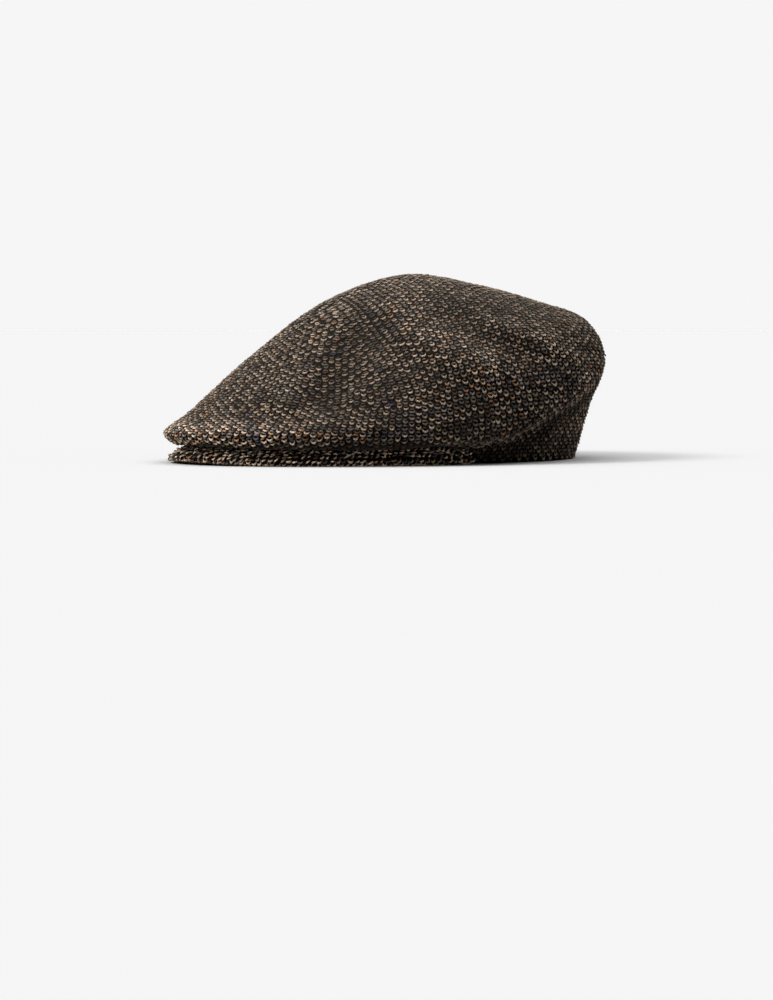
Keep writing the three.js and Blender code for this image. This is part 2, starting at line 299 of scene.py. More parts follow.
# How the cap stands by itself: on the back of the hem and the edge of the peak
def restPose():
    peak = peakSections(33)
    back = np.array([180.0])
    hem = place(back, lowerEdge(back)[0])[0]
    loops = [peak.at(peak.length * k / 8, side) for k in range(9) for side in (1, -1)]
    loops += [peak.edge(turn) for turn in (60, 20, -20, -60)]
    spots = np.concatenate([place(peak.angles, loop) for loop in loops])
    pitch = np.max(np.arctan2(hem[2] - spots[:, 2], hem[1] - spots[:, 1]))
    drop = -hem[1] * math.sin(pitch) + hem[2] * math.cos(pitch) + cap["restPress"]
    return pitch, drop


pitch, drop = restPose()
leanCos, leanSin = math.cos(pitch), math.sin(pitch)
turnRest = np.array([[1, 0, 0], [0, leanCos, leanSin], [0, -leanSin, leanCos]])
middle = 0.0


def restedTurn(directions):
    return directions @ turnRest.T


def rested(points):
    return (restedTurn(points) + (0, -middle, -drop)) * mm


lowCorner, highCorner = (Vector(c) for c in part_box("crown"))
crownRested = rested(crownGrid.reshape(-1, 3))
middle = (crownRested[:, 1].min() + crownRested[:, 1].max() - lowCorner.y - highCorner.y) / 2 / mm


def pressed(points):
    points = points.copy()
    points[:, 2] = np.maximum(points[:, 2], 0)
    return points


def newObject(name, data):
    made = bpy.data.objects.new(name, data)
    bpy.context.scene.collection.objects.link(made)
    return made


def meshObject(name, points, faces, finishes=(), uvs=None):
    mesh = bpy.data.meshes.new(name)
    for finish in finishes:
        mesh.materials.append(finish)
    mesh.from_pydata([tuple(p) for p in points], [], [tuple(int(v) for v in f) for f in faces])
    if uvs is not None:
        layer = mesh.uv_layers.new(name="cloth")
        corner = np.empty(len(mesh.loops), int)
        mesh.loops.foreach_get("vertex_index", corner)
        layer.data.foreach_set("uv", np.asarray(uvs, float)[corner].ravel())
    mesh.polygons.foreach_set("use_smooth", [True] * len(mesh.polygons))
    mesh.update()
    return newObject(name, mesh)


def quads(rows, columns, closedRows=False, closedColumns=False, first=0, turned=False):
    faces = []
    for i in range(rows if closedRows else rows - 1):
        for j in range(columns if closedColumns else columns - 1):
            a, b = first + i * columns + j, first + ((i + 1) % rows) * columns + j
            c = first + ((i + 1) % rows) * columns + (j + 1) % columns
            d = first + i * columns + (j + 1) % columns
            faces.append((a, d, c, b) if turned else (a, b, c, d))
    return faces


# Colours of the materials
looks = {
    "tan": (0.225, 0.164, 0.116), "pink": (0.24, 0.186, 0.147), "rust": (0.15, 0.08, 0.044),
    "brown": (0.036, 0.0215, 0.0135), "grey": (0.08, 0.066, 0.052), "slate": (0.019, 0.0185, 0.0185),
    "olive": (0.125, 0.107, 0.06), "black": (0.004, 0.0022, 0.0013), "blue": (0.013, 0.018, 0.04),
    "under": (0.165, 0.13, 0.106), "underLight": (0.27, 0.222, 0.186), "underDark": (0.054, 0.042, 0.034),
    "ribbonLight": (0.024, 0.024, 0.025), "ribbonStitch": (0.035, 0.034, 0.033), "sheen": (0.8, 0.66, 0.54),
    "paintedSheen": (0.1, 0.084, 0.069), "paintedSheenGround": (0.019, 0.0152, 0.0122), "floor": (0.3836, 0.3836, 0.3836),
}


def rgba(name):
    return (*looks[name], 1.0)


# Gives a node's inputs their values; a socket is linked, anything else is set
def feed(tree, node, values):
    for key, value in values.items():
        if isinstance(value, bpy.types.NodeSocket):
            tree.links.new(value, node.inputs[key])
        else:
            node.inputs[key].default_value = value
    return node


def newNode(tree, kind, values=None, **settings):
    made = tree.nodes.new(kind)
    for key, value in settings.items():
        setattr(made, key, value)
    return feed(tree, made, values or {})


def calc(tree, operation, a, b=0.0, c=0.0):
    return newNode(tree, "ShaderNodeMath", {0: a, 1: b, 2: c}, operation=operation).outputs[0]


def times(tree, a, b):
    return calc(tree, "MULTIPLY", a, b)


def timesPlus(tree, a, b, c):
    return calc(tree, "MULTIPLY_ADD", a, b, c)


def fromHalf(tree, value):
    return calc(tree, "ABSOLUTE", calc(tree, "SUBTRACT", value, 0.5))


def mixColour(tree, factor, a, b, blend="MIX"):
    values = {0: factor, 6: a, 7: b}
    return newNode(tree, "ShaderNodeMix", values, data_type="RGBA", blend_type=blend).outputs[2]


def darken(tree, colour, shade):
    grey = newNode(tree, "ShaderNodeCombineColor", {0: shade, 1: shade, 2: shade}).outputs[0]
    return mixColour(tree, 1.0, colour, grey, "MULTIPLY")


def noise(tree, vector, scale, detail):
    values = {"Vector": vector, "Scale": scale, "Detail": detail, "Roughness": 0.55}
    return newNode(tree, "ShaderNodeTexNoise", values).outputs["Fac"]


def remap(tree, value, low, high, toLow=0.0, toHigh=1.0):
    values = {0: value, 1: low, 2: high, 3: toLow, 4: toHigh}
    return newNode(tree, "ShaderNodeMapRange", values, interpolation_type="SMOOTHSTEP").outputs[0]


def separate(tree, vector):
    return newNode(tree, "ShaderNodeSeparateXYZ", {0: vector}).outputs


def attribute(tree, name):
    return newNode(tree, "ShaderNodeAttribute", attribute_name=name).outputs["Fac"]


def ramp(tree, factor, stops, interpolation="LINEAR"):
    made = newNode(tree, "ShaderNodeValToRGB", {0: factor})
    made.color_ramp.interpolation = interpolation
    elements = made.color_ramp.elements
    while len(elements) < len(stops):
        elements.new(0.5)
    for element, (at, name) in zip(elements, stops):
        element.position = at
        element.color = rgba(name)
    return made.outputs[0]


# A node group with the kind of each input and output, its given values and its output node
def newGroup(name, treeKind, inputs, outputs):
    group = bpy.data.node_groups.new(name, treeKind)
    for way, sockets in (("INPUT", inputs), ("OUTPUT", outputs)):
        for label, kind in sockets.items():
            group.interface.new_socket(label, in_out=way, socket_type="NodeSocket" + kind)
    return group, group.nodes.new("NodeGroupInput").outputs, group.nodes.new("NodeGroupOutput")


# The yarn's colours, each up to the next one's share of the loops, and how they vary over the cloth
yarnStops = [(0.0, "brown"), (0.1, "slate"), (0.14, "grey"), (0.27, "rust"), (0.32, "olive"), (0.345, "tan"),
             (0.72, "pink"), (0.9, "grey")]
yarnLook = {
    "patchScale": 60.0, "patchFrom": 0.45, "patchTo": 0.68, "fineScale": 1000.0, "fineDark": 0.6,
    "fineLight": 1.4, "roughness": 0.92, "sheen": 0.12, "hairs": 2600.0, "middle": 0.07, "arms": 0.36,
    "middleLight": 1.25, "twists": 44.0, "twistSlant": 4.0, "twistShade": 0.18, "usualShade": 0.92,
    "paintedSheenShade": 0.85, "twistHigh": 0.35, "bump": 0.7, "bumpDeep": 0.00025,
}


# A yarn's colour, picked by each loop's own tone and drifting in patches over the cloth
def yarnColourGroup():
    inputs = {"Vector": "Vector", "Tone": "Float", "Check": "Float", "Mottle": "Float"}
    group, given, out = newGroup("yarnColour", "ShaderNodeTree", inputs, {"Color": "Color"})
    base = ramp(group, given["Tone"], yarnStops, "CONSTANT")
    patch = noise(group, given["Vector"], yarnLook["patchScale"], 4.0)
    patch = remap(group, patch, yarnLook["patchFrom"], yarnLook["patchTo"])
    mixed = mixColour(group, times(group, patch, given["Mottle"]), base, rgba("brown"))
    fine = noise(group, given["Vector"], yarnLook["fineScale"], 2.0)
    mixed = darken(group, mixed, remap(group, fine, 0.32, 0.68, yarnLook["fineDark"], yarnLook["fineLight"]))
    feed(group, out, {"Color": mixColour(group, given["Check"], mixed, rgba("blue"))})
    return group


# Fine hairs of the yarn, as a height and a shade
def fibreGroup():
    inputs, outputs = {"Vector": "Vector", "Scale": "Float"}, {"Height": "Float", "Shade": "Float"}
    group, given, out = newGroup("fibre", "ShaderNodeTree", inputs, outputs)
    long = newNode(group, "ShaderNodeMapping", {"Vector": given["Vector"], "Scale": (1.0, 1.0, 0.35)})
    fine = newNode(group, "ShaderNodeTexNoise", {
        "Vector": long.outputs[0], "Scale": given["Scale"], "Detail": 4.0, "Roughness": 0.65,
    }).outputs["Fac"]
    feed(group, out, {"Height": fine, "Shade": remap(group, fine, 0.35, 0.65, 0.45, 1.35)})
    return group


yarnColour, fibre = yarnColourGroup(), fibreGroup()


def hairsOn(tree, vector, scale):
    return newNode(tree, "ShaderNodeGroup", {"Vector": vector, "Scale": scale}, node_tree=fibre).outputs


def newMaterial(name, roughness, sheen=0.0, specular=0.05):
    material = bpy.data.materials.new(name)
    material.use_nodes = True
    values = {"Roughness": roughness, "Sheen Weight": sheen, "Sheen Roughness": 0.5,
              "Sheen Tint": rgba("sheen"), "Specular IOR Level": specular}
    shader = feed(material.node_tree, material.node_tree.nodes["Principled BSDF"], values)
    return material, material.node_tree, shader


# Gives a shader its colour and its relief, in metres
def dress(tree, shader, colour, height, strength, deep):
    bump = newNode(tree, "ShaderNodeBump", {"Strength": strength, "Distance": deep, "Height": height})
    feed(tree, shader, {"Base Color": colour, "Normal": bump.outputs[0]})


def yarnMaterial(name, mottle, toneSpan, armShade, bright=1.0):
    look = yarnLook
    material, tree, shader = newMaterial(name, look["roughness"], look["sheen"])
    coords = newNode(tree, "ShaderNodeTexCoord").outputs["Object"]
    tone, check, paintedShading, paintedSheen = (attribute(tree, label) for label in ("tone", "check", "paintedShading", "paintedSheen"))
    along = separate(tree, newNode(tree, "ShaderNodeUVMap", uv_map="cloth").outputs[0])
    values = {"Vector": coords, "Tone": times(tree, tone, toneSpan), "Check": check, "Mottle": mottle}
    colour = newNode(tree, "ShaderNodeGroup", values, node_tree=yarnColour).outputs["Color"]
    hairs = hairsOn(tree, coords, look["hairs"])
    # Painted light and shade along the yarn: the loop's middle is a painted highlight where the bottom of the
    # U catches the light, its arms have painted shade where they sink into the cloth, and the grooves of the
    # twist have painted shade
    arms = remap(tree, fromHalf(tree, along[0]), look["middle"], look["arms"], look["middleLight"], armShade)
    turned = timesPlus(tree, along[0], look["twists"], times(tree, along[1], look["twistSlant"]))
    twist = calc(tree, "SINE", turned)
    twistShade = timesPlus(tree, twist, look["twistShade"] * bright, look["usualShade"] * bright)
    shade = times(tree, hairs["Shade"], twistShade)
    # Painted sheen: where it is set, the yarn is painted flatter and toward a paler colour
    shade = timesPlus(tree, paintedSheen, calc(tree, "SUBTRACT", look["paintedSheenShade"] * bright, shade), shade)
    # Then the painted shade and painted light set per loop multiply the yarn's colour
    shade = times(tree, times(tree, shade, arms), paintedShading)
    colour = darken(tree, mixColour(tree, paintedSheen, colour, rgba("paintedSheen")), shade)
    height = timesPlus(tree, twist, look["twistHigh"], hairs["Height"])
    dress(tree, shader, colour, height, look["bump"], look["bumpDeep"])
    return material


# The cloth under the loops: near-black yarn with faint stitches
def groundMaterial(name, stitchWide, stitchTall, lift):
    material, tree, shader = newMaterial(name, 0.95, specular=0.02)
    coords = newNode(tree, "ShaderNodeTexCoord").outputs
    values = {"Vector": coords["UV"], "Scale": (1 / stitchWide, 1 / stitchTall, 1.0)}
    stitched = newNode(tree, "ShaderNodeMapping", values).outputs[0]
    cells = newNode(tree, "ShaderNodeTexVoronoi", {"Vector": stitched, "Scale": 1.0, "Randomness": 0.45},
                    voronoi_dimensions="2D").outputs
    tone = newNode(tree, "ShaderNodeSeparateColor", {0: cells["Color"]}).outputs[0]
    colour = ramp(tree, tone, [(0.0, "black"), (0.6, "brown"), (0.9, "slate")])
    # Each stitch cell is painted darker toward its edges: painted shade in the gaps between stitches
    swell = remap(tree, cells["Distance"], 0.15, 0.6, 1.0, 0.0)
    hairs = hairsOn(tree, coords["Object"], 2200.0)
    shade = times(tree, times(tree, timesPlus(tree, swell, 0.8, 0.2), lift), hairs["Shade"])
    # Painted sheen: the cloth is painted paler where it faces up
    colour = mixColour(tree, attribute(tree, "paintedSheen"), darken(tree, colour, shade), rgba("paintedSheenGround"))
    dress(tree, shader, colour, timesPlus(tree, hairs["Height"], 0.3, swell), 0.8, 0.0005)
    return material


# Flat knitted cloth drawn in millimetres on the piece's own UV: rows of small arches
def flatKnitMaterial(name, stitchWide, stitchTall, bend, colours, mottle):
    material, tree, shader = newMaterial(name, 0.94, 0.04)
    coords = newNode(tree, "ShaderNodeTexCoord").outputs
    onCloth = separate(tree, coords["UV"])
    wavy = timesPlus(tree, noise(tree, coords["Object"], 90.0, 2.0), 2.4, onCloth[1])
    row, wale = calc(tree, "DIVIDE", wavy, stitchTall), calc(tree, "DIVIDE", onCloth[0], stitchWide)
    across = fromHalf(tree, calc(tree, "FRACT", wale))
    arched = timesPlus(tree, times(tree, across, across), bend, row)
    yarn = remap(tree, fromHalf(tree, calc(tree, "FRACT", arched)), 0.12, 0.46, 1.0, 0.0)
    height = times(tree, yarn, remap(tree, across, 0.3, 0.5, 1.0, 0.45))
    cell = {0: calc(tree, "FLOOR", wale), 1: calc(tree, "FLOOR", arched)}
    cell = newNode(tree, "ShaderNodeCombineXYZ", cell).outputs[0]
    tone = newNode(tree, "ShaderNodeTexWhiteNoise", {"Vector": cell}, noise_dimensions="2D")
    colour = ramp(tree, tone.outputs["Value"], list(zip((0.0, 0.35, 0.8), colours)), "CONSTANT")
    patch = remap(tree, noise(tree, coords["Object"], 70.0, 3.0), 0.4, 0.65, 1.0, 1.0 - mottle)
    hairs = hairsOn(tree, coords["Object"], 2400.0)
    # Painted shade: the cloth is painted darker where the yarn lies low, between the arches
    shade = times(tree, times(tree, timesPlus(tree, height, 0.85, 0.15), hairs["Shade"]), patch)
    height = timesPlus(tree, hairs["Height"], 0.3, height)
    dress(tree, shader, darken(tree, colour, shade), height, 0.9, 0.0005)
    return material


loopMaterial = yarnMaterial("tweedLoops", 0.3, 1.0, 0.3, 0.95)
backLoopMaterial = yarnMaterial("tweedBackYarn", 0.35, 0.3, 0.7)
groundTweed = groundMaterial("tweedGround", 3.9, 2.2, 0.35)
undersideTweed = flatKnitMaterial("peakUnderside", 3.4, 1.9, 1.6, ("underDark", "under", "underLight"), 0.55)
reverseTweed = flatKnitMaterial("crownReverse", 3.9, 2.1, 2.4, ("black", "brown", "brown"), 0.4)
turnedTweed = flatKnitMaterial("hemTurned", 3.9, 2.2, -2.4, ("brown", "under", "underLight"), 0.3)
# The strip's loops are a lighter copy of the crown's loop yarn: painted light on the strip under the crown's
# roll
peakLoopMaterial = yarnMaterial("peakLoops", 0.25, 1.0, 0.35, 1.8)
stitchMaterial = yarnMaterial("edgeStitchYarn", 0.3, 1.0, 0.6, 1.25)
print("materials made")


# Geometry Nodes tree that lays one shape on every vertex of a point mesh, by its own frame and size
def layTree():
    inputs = {"Geometry": "Geometry", "Shape": "Object", "Lean": "Float", "Uneven": "Float", "Seed": "Int",
              "Finish": "Material"}
    tree, given, out = newGroup("layOnPoints", "GeometryNodeTree", inputs, {"Geometry": "Geometry"})

    def named(label):
        kind = "GeometryNodeInputNamedAttribute"
        return newNode(tree, kind, {"Name": label}, data_type="FLOAT_VECTOR").outputs[0]

    def random(kind, low, high, seedShift):
        first, output = (0, 0) if kind == "FLOAT_VECTOR" else (2, 1)
        seed = calc(tree, "ADD", given["Seed"], float(seedShift))
        values = {first: low, first + 1: high, "Seed": seed}
        return newNode(tree, "FunctionNodeRandomValue", values, data_type=kind).outputs[output]

    def vectorMath(operation, a, b):
        return newNode(tree, "ShaderNodeVectorMath", {0: a, 1: b}, operation=operation).outputs[0]

    aim = newNode(tree, "FunctionNodeAxesToRotation", {0: named("outward"), 1: named("upward")},
                  primary_axis="Z", secondary_axis="Y").outputs[0]
    swing = vectorMath("MULTIPLY", random("FLOAT_VECTOR", (-1, -1, -1), (1, 1, 1), 0), given["Lean"])
    swing = newNode(tree, "FunctionNodeEulerToRotation", {0: swing}).outputs[0]
    aim = newNode(tree, "FunctionNodeRotateRotation", {0: aim, 1: swing}, rotation_space="LOCAL").outputs[0]
    uneven = vectorMath("MULTIPLY", random("FLOAT_VECTOR", (-1, -1, -1), (1, 1, 1), 7), given["Uneven"])
    size = vectorMath("MULTIPLY", named("size"), vectorMath("ADD", uneven, (1, 1, 1)))
    shape = newNode(tree, "GeometryNodeObjectInfo", {"Object": given["Shape"]}).outputs["Geometry"]
    laid = newNode(tree, "GeometryNodeInstanceOnPoints", {
        "Points": given["Geometry"], "Instance": shape, "Rotation": aim, "Scale": size,
    }).outputs[0]
    toned = newNode(tree, "GeometryNodeStoreNamedAttribute", {
        "Geometry": laid, "Name": "tone", "Value": random("FLOAT", 0.0, 1.0, 13),
    }, data_type="FLOAT", domain="INSTANCE").outputs[0]
    real = newNode(tree, "GeometryNodeRealizeInstances", {"Geometry": toned}).outputs[0]
    finished = newNode(tree, "GeometryNodeSetMaterial", {"Geometry": real, "Material": given["Finish"]})
    feed(tree, out, {0: finished.outputs[0]})
    return tree


layOnPoints = layTree()


# Lays a shape on points with an outward and an upward direction each, and leaves a plain mesh on the floor
def layShape(name, shape, finish, points, outward, upward, size, given, lean, uneven, seed):
    mesh = bpy.data.meshes.new(name + "Points")
    mesh.from_pydata([tuple(p) for p in rested(points)], [], [])
    for label, values in (("outward", restedTurn(outward)), ("upward", restedTurn(upward)), ("size", size)):
        mesh.attributes.new(label, "FLOAT_VECTOR", "POINT").data.foreach_set("vector", values.ravel())
    for label, usual in (("check", 0.0), ("paintedShading", 1.0), ("paintedSheen", 0.0)):
        values = given.get(label, np.full(len(points), usual))
        mesh.attributes.new(label, "FLOAT", "POINT").data.foreach_set("value", values)
    made = newObject(name, mesh)
    lay = made.modifiers.new("lay", "NODES")
    lay.node_group = layOnPoints
    wanted = {"Shape": shape, "Lean": lean, "Uneven": uneven, "Seed": seed, "Finish": finish}
    for item in layOnPoints.interface.items_tree:
        if item.in_out == "INPUT" and item.name in wanted:
            lay[item.identifier] = wanted[item.name]
    made.update_tag()
    graph = bpy.context.evaluated_depsgraph_get()
    laid = made.evaluated_get(graph)
    real = bpy.data.meshes.new_from_object(laid, preserve_all_data_layers=True, depsgraph=graph)
    made.modifiers.clear()
    made.data = real
    real.name = name
    bpy.data.meshes.remove(mesh)
    spots = np.empty(len(real.vertices) * 3)
    real.vertices.foreach_get("co", spots)
    spots[2::3] = np.maximum(spots[2::3], 0.0)
    real.vertices.foreach_set("co", spots)
    real.update()
    print(name, len(real.polygons), "faces")
    return made


# A length of yarn along a path, three-sided and open at its back where it lies on the cloth
def yarnShape(name, path, radii):
    path, sides, points, faces, uvs = np.asarray(path, float), 3, [], [], []
    for k in range(len(path)):
        along = unit(path[min(k + 1, len(path) - 1)] - path[max(k - 1, 0)])
        across = unit(np.cross(along, (0, 0, 1)))
        up = np.cross(across, along)
        for j in range(sides + 1):
            turn = math.pi * (1.08 - 1.16 * j / sides)
            points.append(path[k] + radii[k] * (across * math.cos(turn) + up * math.sin(turn)))
            uvs.append((k / (len(path) - 1), j / sides))
    for k in range(len(path) - 1):
        for j in range(sides):
            a = k * (sides + 1) + j
            faces.append((a, a + 1, a + sides + 2, a + sides + 1))
    shape = meshObject(name, np.array(points) * mm, faces, uvs=uvs)
    shape.hide_render = True
    return shape


# The knit over the crown. Rows follow the lower edge up to a line along the middle of the top.
knit = {
    "waleGap": 3.95, "rowGap": 2.2, "ridgeFront": -58.0, "ridgeBack": 48.0, "directions": 720,
    "lowSteps": 60, "highSteps": 90, "groundDrop": 0.6, "firstRow": 0.9, "lastRow": 1.2, "ridgeOut": 0.55,
    "holdFewer": 0.9, "leastWide": 0.45, "turnedIn": 7.0, "sink": 0.52, "backSink": 0.62, "backUp": 0.62,
    "stray": 0.15, "flat": 0.68, "foldPaintedShade": 0.17, "topFrom": 0.45, "topSpan": 0.4, "topPaintedLight": 0.38,
    "topFlatter": 0.25, "topPaintedSheen": 0.42, "paintedSheenFrom": 0.4, "ridgeShade": 0.68,
}


def crownPaths():
    directions = wrapAngle(np.arange(knit["directions"]) * 360 / knit["directions"])
    lowMarks = np.linspace(0, 3, knit["lowSteps"])
    found = onCrown(np.repeat(directions, len(lowMarks)), np.tile(lowMarks, len(directions)))
    low, lowNormals = (values.reshape(len(directions), len(lowMarks), 3) for values in found)
    edge = low[:, -1, :2]
    ridge = np.stack([0 * edge[:, 0], np.clip(edge[:, 1], knit["ridgeFront"], knit["ridgeBack"])], -1)
    t = np.linspace(0, 1, knit["highSteps"])[1:, None]
    plan = edge[:, None] * (1 - t) + ridge[:, None] * t
    across, along = plan[..., 0], plan[..., 1] + cap["axisForward"]
    out, angle = np.hypot(across, along), np.degrees(np.arctan2(across, -along))
    lowMark, highMark = np.full(out.shape, 2.9), np.full(out.shape, 6.0)
    for _ in range(18):
        mark = (lowMark + highMark) / 2
        spot, _ = onCrown(angle, mark)
        reach = np.hypot(spot[..., 0], spot[..., 1] + cap["axisForward"])
        lowMark, highMark = np.where(reach > out, mark, lowMark), np.where(reach > out, highMark, mark)
    high, highNormals = onCrown(angle, (lowMark + highMark) / 2)
    return np.concatenate([low, high], 1), np.concatenate([lowNormals, highNormals], 1), edge


paths, pathNormals, widest = crownPaths()
pathRun = lineLength(paths)
pathLength = pathRun[:, -1]
onSides = (widest[:, 1] >= knit["ridgeFront"]) & (widest[:, 1] <= knit["ridgeBack"])
leftSide, rightSide = onSides & (widest[:, 0] > 0), onSides & (widest[:, 0] < 0)


def levelRing(share):
    run = knit["firstRow"] + share * (pathLength - knit["firstRow"] - knit["lastRow"])
    spots, normals = (np.array([alongLine(values[q], pathRun[q], run[q]) for q in range(len(run))])
                      for values in (paths, pathNormals))
    return spots, unit(normals)


def atShare(values, q):
    q = np.mod(q, len(values))
    low = np.floor(q).astype(int) % len(values)
    f = (q - np.floor(q))[:, None]
    return values[low] * (1 - f) + values[(low + 1) % len(values)] * f


def knitLattice():
    rows = int(round(np.mean(pathLength) / knit["rowGap"] / 2)) * 2
    left, right = np.flatnonzero(leftSide), np.flatnonzero(rightSide)
    arcs = [(left[0], left[-1], True), (left[-1], right[0], False), (right[0], right[-1], True),
            (right[-1], left[0] + len(paths), False)]
    levels = [levelRing((i + 0.5) / rows) for i in range(rows)]
    runs = [lineLength(np.concatenate([spots, spots, spots[:1]])) for spots, _ in levels]
    longest = int(np.argmax([run[len(paths)] for run in runs]))
    steps, gap, found = np.arange(len(runs[0])), 2 * knit["waleGap"], []
    for start, end, fixed in arcs:
        wales = None
        for i, (spots, normals) in enumerate(levels):
            run = runs[longest if fixed else max(i, longest)]
            length = run[end] - run[start]
            if wales is None or (not fixed and length / wales < gap * knit["holdFewer"]):
                wales = max(int(round(length / gap)), 1)
            t = (np.arange(wales) + 0.5 * (i % 2)) / wales
            q, before, after = (np.interp(run[start] + (t + shift / wales) * length, run, steps)
                                for shift in (0, -0.5, 0.5))
            wide = (np.interp(after, steps, runs[i]) - np.interp(before, steps, runs[i])) / gap
            up = atShare(levels[min(i + 1, rows - 1)][0], q) - atShare(levels[max(i - 1, 0)][0], q)
            tall = np.linalg.norm(up, axis=1) / knit["rowGap"] / (2 if 0 < i < rows - 1 else 1)
            parts = (atShare(spots, q), unit(atShare(normals, q)), unit(up), wide, tall)
            found.append([part[wide > knit["leastWide"]] for part in parts])
    print("knit lattice of", rows, "rows")
    return [np.concatenate(parts) for parts in zip(*found)]


# Two rows, one from each side, close the knit along the middle of the top
def ridgeRows():
    line, normals = paths[leftSide, -1], pathNormals[leftSide, -1]
    length = lineLength(line)
    found = []
    for side in (1, -1):
        at = np.arange(0.25 - 0.25 * side, length[-1] / knit["waleGap"]) * knit["waleGap"]
        here = alongLine(line, length, at) + (side * knit["ridgeOut"], 0, 0)
        up = np.tile((float(side), 0.0, 0.0), (len(at), 1))
        found.append((here, unit(alongLine(normals, length, at)), up, np.ones(len(at)), np.ones(len(at))))
    return [np.concatenate(parts) for parts in zip(*found)]


lattice = knitLattice()
loops = [np.concatenate(both) for both in zip(lattice, ridgeRows())]
loopSpots, loopNormals, loopUps, loopWide, loopTall = loops
print(len(loopSpots), "loops")

# The cloth under the knit: outer skin, lower edge and inner skin as one closed wall
skinOut = (crownGrid - crownNormals * knit["groundDrop"])[:, :-1].reshape(-1, 3)
skinIn = (crownGrid - crownNormals * cap["crownWall"])[:, :-1]
skinIn[:, 0] = place(gridAngles, lowerEdge(wrapAngle(gridAngles))[1])
tops = [(0, -cap["axisForward"], cap["crownTall"] - deep) for deep in (knit["groundDrop"], cap["crownWall"])]
inner, wall = len(skinOut), rings - 1
faces = quads(around, wall, closedRows=True) + quads(around, wall, closedRows=True, first=inner, turned=True)
for i in range(around):
    a, b = i * wall, (i + 1) % around * wall
    lastA, lastB = a + wall - 1, b + wall - 1
    faces += [(lastA, lastB, 2 * inner), (inner + lastB, inner + lastA, 2 * inner + 1)]
    faces.append((a, inner + a, inner + b, b))
runUp = lineLength(crownGrid)[:, :-1].reshape(-1)
clothUv = np.stack([np.repeat(lineLength(crownGrid[:, 30]), wall), runUp], -1)
clothPoints = np.concatenate([skinOut, skinIn.reshape(-1, 3), tops])
crownCloth = meshObject("crown_cloth", pressed(rested(clothPoints)), faces,
                        (groundTweed, reverseTweed, turnedTweed),
                        np.concatenate([clothUv, clothUv, np.zeros((2, 2))]))
for polygon in crownCloth.data.polygons:
    lowest = min(polygon.vertices)
    if lowest >= inner:
        turnedIn = lowest < 2 * inner and runUp[lowest - inner] < knit["turnedIn"]
        polygon.material_index = 2 if turnedIn else 1


# Painted sheen: how much paler and flatter the cloth is painted where it faces up, from 0 to 1, standing in
# for hairs catching the light
def paintedSheenOn(normals):
    return np.clip((normals[..., 2] - knit["paintedSheenFrom"]) / (1 - knit["paintedSheenFrom"]), 0, 1)


clothPaintedSheen = paintedSheenOn(crownNormals[:, :-1]).reshape(-1)
crownCloth.data.attributes.new("paintedSheen", "FLOAT", "POINT").data.foreach_set(
    "value", np.concatenate([clothPaintedSheen, 0 * clothPaintedSheen, [1.0, 0.0]]))

# Paths across a loop and across the yarn between loops, in mm on the cloth: across, up and out
loopPath = [(-1.75, 1.4, -0.8), (-1.55, 0.45, -0.15), (-0.95, -0.7, 0.3), (0, -1.15, 0.5), (0.95, -0.7, 0.3),
            (1.55, 0.45, -0.15), (1.75, 1.4, -0.8)]
backPath = [(-1.45, -0.35, -0.5), (-0.55, 0.15, 0.0), (0.55, 0.15, 0.0), (1.45, -0.35, -0.5)]
yarnLoop = yarnShape("yarnLoop", loopPath, [0.22, 0.34, 0.55, 0.7, 0.55, 0.34, 0.22])
backLoop = yarnShape("backLoop", backPath, [0.3, 0.6, 0.6, 0.3])

# The faint windowpane check, from angle and mark to angle and mark, and how strong it is
checkLines = [
    (16, 3.3, 27, 4.0, 0.6), (27, 4.0, 49, 4.4, 0.75), (49, 4.4, 90, 4.6, 0.6), (90, 4.6, 125, 4.3, 0.5),
    (22, 0.3, 33, 0.6, 0.5), (33, 0.6, 49, 1.5, 0.6), (49, 1.5, 60, 2.5, 0.8), (60, 2.5, 90, 2.9, 0.45),
    (90, 2.9, 119, 2.5, 0.6), (16, 3.0, 22, 2.25, 0.6), (22, 2.25, 22, 0.8, 0.5), (54, 3.0, 60, 2.5, 0.8),
    (60, 2.5, 66, 1.3, 0.8), (54, 3.0, 46, 4.3, 0.5), (46, 4.3, 20, 5.3, 0.45), (119, 2.5, 121, 0.8, 0.6),
    (119, 2.5, 124, 3.6, 0.5), (124, 3.6, 150, 4.7, 0.45), (0, 3.2, 0, 5.4, 0.25), (180, 5.4, 180, 1.5, 0.45),
]
# Painted shade where the cloth turns into a hollow or crease, and painted light where it rolls out (a
# negative amount), with the width and how much darker
shadeLines = [
    (88, 0.25, 108, 0.45, 9.0, 0.88), (108, 0.45, 125, 1.1, 9.0, 0.82), (125, 1.1, 145, 1.5, 8.0, 0.7),
    (110, 0.0, 145, 0.2, 12.0, 0.5), (78, 2.4, 112, 1.9, 26.0, 0.3), (118, 4.2, 150, 3.2, 36.0, 0.35),
    (0, 1.2, 30, 1.2, 12.0, -1.9), (30, 1.15, 55, 1.0, 8.0, -0.6),
]
farBend = 1.06
# Painted shadow in the hollow just above the peak, under the crown's roll: how tall it is, up to which
# angles, and how dark
hollow = {"tallFront": 0.55, "tallSide": 2.1, "sideFrom": 92.0, "gone": 102.0, "fade": 10.0, "paintedShade": 0.9}


def linesOn(rows):
    for row in rows:
        for turn in (1.0, -farBend):
            yield lineSpots(row, 25, turn), row[4:]


def checkOn(spots, rng):
    value = np.zeros(len(spots))
    for line, (strong,) in linesOn(checkLines):
        value = np.maximum(value, np.clip(1.6 - nearness(spots, line) / 2.0, 0, 1) * strong)
    return value * np.clip(rng.normal(0.85, 0.45, len(spots)), 0, 1.2)


